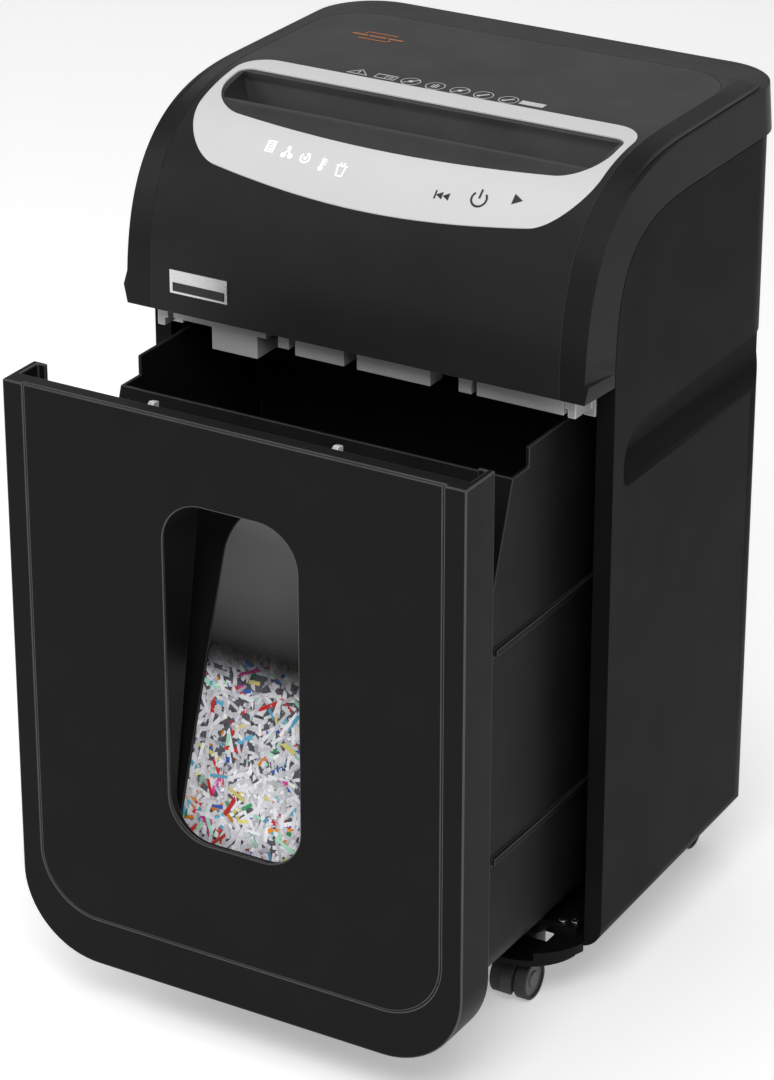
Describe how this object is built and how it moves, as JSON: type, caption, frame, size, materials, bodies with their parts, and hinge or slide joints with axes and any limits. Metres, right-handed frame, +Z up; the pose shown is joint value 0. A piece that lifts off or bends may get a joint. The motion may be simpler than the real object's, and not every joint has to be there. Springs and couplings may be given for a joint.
{
  "type": "paper shredder",
  "caption": "Cross-cut paper shredder: a curved cutting head on a castered cabinet, with a windowed waste drawer that slides out of the front.",
  "frame": {"origin": "centre of the bounding box on the floor, under the wheels, with the drawer 148 mm open", "axes": "+X to the right of a person facing the front, +Y to the back, +Z up"},
  "size_m": [0.356, 0.442, 0.606],
  "materials": {
    "black_case": "satin moulded, fine grain",
    "silver_panel": "pearl silver, satin",
    "black_trim": "spark-eroded texture",
    "bin_plastic": "moulded, matt",
    "lamp": "translucent white",
    "board": "green solder mask",
    "plate_metal": "brushed",
    "grey_plastic": "moulded, satin",
    "steel": "zinc plated",
    "cutter_steel": "hardened, oiled",
    "bronze": "sintered, oiled",
    "motor_metal": "black paint",
    "gear_plastic": "natural nylon",
    "clear_pane": "clear smoked plastic",
    "shreds": "cross-cut strips, mostly white",
    "caster_plastic": "moulded",
    "wheel_rubber": "soft tread"
  },
  "bodies": {
    "case": {"hood_frame": "black_case", "top_cover": "black_case", "control_panel": "silver_panel", "throat_insert": "black_trim", "status_lights": "lamp", "control_board": "board", "service_plate": "plate_metal", "head_base": "grey_plastic", "side_clips": "grey_plastic", "cutter_plate_left": "steel", "cutter_plate_right": "steel", "tie_rods": "steel", "stripper_comb_front": "black_trim", "stripper_comb_rear": "black_trim", "shaft_bearings": "bronze", "motor": "motor_metal", "motor_bracket": "steel", "gear_cover": "black_trim", "power_board": "board", "paper_sensor": "black_trim", "door_sensor": "black_trim", "side_panel_left": "black_case", "side_panel_right": "black_case", "rear_panel": "black_case", "cord_gland": "black_trim", "base_tray": "bin_plastic", "base_screws": "steel", "slide_rails": "bin_plastic", "caster_sockets": "steel", "idler_axle": "steel"},
    "front_cutter": {"cutter_shaft_front": "steel", "cutter_discs_front": "cutter_steel", "mesh_gear_front": "steel"},
    "rear_cutter": {"cutter_shaft_rear": "steel", "cutter_discs_rear": "cutter_steel", "mesh_gear_rear": "steel", "drive_gear": "cutter_steel"},
    "idler": {"idler_gear": "gear_plastic"},
    "motor_shaft": {"motor_pinion": "bronze"},
    "drawer": {"drawer_frame": "black_case", "drawer_facing": "black_case", "window_shroud": "black_trim", "window_pane": "clear_pane", "waste_bin": "bin_plastic", "drawer_runners": "bin_plastic", "latch_tabs": "grey_plastic", "shredded_paper": "shreds"},
    "caster_front_left": {"caster_fork_front_left": "caster_plastic"},
    "wheels_front_left": {"caster_wheels_front_left": "wheel_rubber"},
    "caster_front_right": {"caster_fork_front_right": "caster_plastic"},
    "wheels_front_right": {"caster_wheels_front_right": "wheel_rubber"},
    "caster_rear_left": {"caster_fork_rear_left": "caster_plastic"},
    "wheels_rear_left": {"caster_wheels_rear_left": "wheel_rubber"},
    "caster_rear_right": {"caster_fork_rear_right": "caster_plastic"},
    "wheels_rear_right": {"caster_wheels_rear_right": "wheel_rubber"}
  },
  "joints": [
    {"name": "drawer_slide", "type": "slide", "parent": "case", "child": "drawer", "axis": [0, -1, 0], "range_m": [-0.148, 0.06]},
    {"name": "rear_cutter_spin", "type": "hinge", "parent": "case", "child": "rear_cutter", "pos_m": [0, 0.029, 0.52], "axis": [1, 0, 0], "continuous": true},
    {"name": "front_cutter_spin", "type": "hinge", "parent": "case", "child": "front_cutter", "pos_m": [0, -0.009, 0.52], "axis": [1, 0, 0], "continuous": true},
    {"name": "idler_spin", "type": "hinge", "parent": "case", "child": "idler", "pos_m": [0, 0.07627, 0.52834], "axis": [1, 0, 0], "continuous": true},
    {"name": "motor_spin", "type": "hinge", "parent": "case", "child": "motor_shaft", "pos_m": [0, 0.11434, 0.51059], "axis": [1, 0, 0], "continuous": true},
    {"name": "swivel_front_left", "type": "hinge", "parent": "case", "child": "caster_front_left", "pos_m": [-0.122, -0.0285, 0.04], "axis": [0, 0, 1], "continuous": true},
    {"name": "roll_front_left", "type": "hinge", "parent": "caster_front_left", "child": "wheels_front_left", "pos_m": [-0.122, -0.0525, 0.015], "axis": [1, 0, 0], "continuous": true},
    {"name": "swivel_front_right", "type": "hinge", "parent": "case", "child": "caster_front_right", "pos_m": [0.122, -0.0285, 0.04], "axis": [0, 0, 1], "continuous": true},
    {"name": "roll_front_right", "type": "hinge", "parent": "caster_front_right", "child": "wheels_front_right", "pos_m": [0.122, -0.0525, 0.015], "axis": [1, 0, 0], "continuous": true},
    {"name": "swivel_rear_left", "type": "hinge", "parent": "case", "child": "caster_rear_left", "pos_m": [-0.122, 0.169, 0.04], "axis": [0, 0, 1], "continuous": true},
    {"name": "roll_rear_left", "type": "hinge", "parent": "caster_rear_left", "child": "wheels_rear_left", "pos_m": [-0.122, 0.193, 0.015], "axis": [1, 0, 0], "continuous": true},
    {"name": "swivel_rear_right", "type": "hinge", "parent": "case", "child": "caster_rear_right", "pos_m": [0.122, 0.169, 0.04], "axis": [0, 0, 1], "continuous": true},
    {"name": "roll_rear_right", "type": "hinge", "parent": "caster_rear_right", "child": "wheels_rear_right", "pos_m": [0.122, 0.193, 0.015], "axis": [1, 0, 0], "continuous": true}
  ],
  "couplings": [
    {"joint": "front_cutter_spin", "follows": "rear_cutter_spin", "ratio": -1},
    {"joint": "idler_spin", "follows": "rear_cutter_spin", "ratio": -3.5714},
    {"joint": "motor_spin", "follows": "rear_cutter_spin", "ratio": 21.429}
  ]
}
